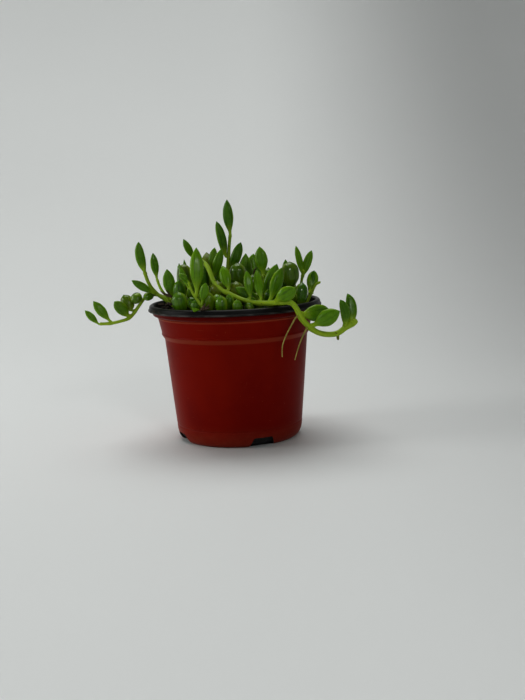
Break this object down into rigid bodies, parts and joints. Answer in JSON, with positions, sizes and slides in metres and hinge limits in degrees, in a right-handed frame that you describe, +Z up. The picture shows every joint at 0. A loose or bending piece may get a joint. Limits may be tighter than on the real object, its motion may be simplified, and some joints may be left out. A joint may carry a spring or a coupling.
{
  "type": "potted string of watermelons",
  "caption": "Small trailing succulent with pointed bead-like leaves on thin stems, growing in a round nursery pot that stands on its flat underside.",
  "frame": {"origin": "centre of the pot's flat underside", "axes": "+Z up through the pot's centre; -Y is the front, where the long trailer crosses the lip; +X to the right, where that trailer hangs"},
  "size_m": [0.1533, 0.1091, 0.137],
  "materials": {
    "pot_shell": "satin terracotta-red thermoformed sheet, black inner layer at the lip and inside",
    "potting_mix": "damp crumbly dark mix",
    "stem": "smooth waxy green",
    "leaf": "waxy semi-gloss green with fine darker lines from base to tip",
    "bead": "glossy green to olive with fine darker lines from base to tip",
    "air_root": "matt pale fibre"
  },
  "bodies": {
    "root": {"pot": "pot_shell", "potting_mix": "potting_mix", "air_root_far": "air_root", "air_root_near": "air_root", "back_left_shoot_leaf_1": "leaf", "back_left_shoot_stem": "stem", "back_shoot_leaf_1": "leaf", "back_shoot_stem": "stem", "back_trailer_leaf_1": "leaf", "back_trailer_leaf_2": "leaf", "back_trailer_stem": "stem", "bead_back_right": "bead", "bead_front_left": "bead", "bead_front_olive": "bead", "bead_front_pointed": "bead", "bead_front_striped": "bead", "bead_left_dome": "bead", "bead_middle": "bead", "bead_right_big": "bead", "bead_right_dark": "bead", "centre_shoot_leaf_1": "leaf", "centre_shoot_leaf_2": "leaf", "centre_shoot_leaf_3": "leaf", "centre_shoot_stem": "stem", "front_left_shoot_leaf_1": "leaf", "front_left_shoot_leaf_2": "leaf", "front_left_shoot_stem": "stem", "inner_left_shoot_leaf_1": "leaf", "inner_left_shoot_leaf_2": "leaf", "inner_left_shoot_stem": "stem", "left_shoot_leaf_1": "leaf", "left_shoot_leaf_2": "leaf", "left_shoot_stem": "stem", "left_trailer_leaf_1": "leaf", "left_trailer_leaf_2": "leaf", "left_trailer_leaf_3": "leaf", "left_trailer_leaf_4": "leaf", "left_trailer_stem": "stem", "mid_right_shoot_leaf_1": "leaf", "mid_right_shoot_leaf_2": "leaf", "mid_right_shoot_stem": "stem", "right_edge_shoot_leaf_1": "leaf", "right_edge_shoot_stem": "stem", "right_pair_shoot_leaf_1": "leaf", "right_pair_shoot_leaf_2": "leaf", "right_pair_shoot_stem": "stem", "right_trailer_leaf_1": "leaf", "right_trailer_leaf_2": "leaf", "right_trailer_leaf_3": "leaf", "right_trailer_leaf_4": "leaf", "right_trailer_leaf_5": "leaf", "right_trailer_leaf_6": "leaf", "right_trailer_leaf_7": "leaf", "right_trailer_leaf_8": "leaf", "right_trailer_leaf_9": "leaf", "right_trailer_stem": "stem", "tall_shoot_leaf_1": "leaf", "tall_shoot_leaf_2": "leaf", "tall_shoot_leaf_3": "leaf", "tall_shoot_stem": "stem"}
  },
  "joints": []
}
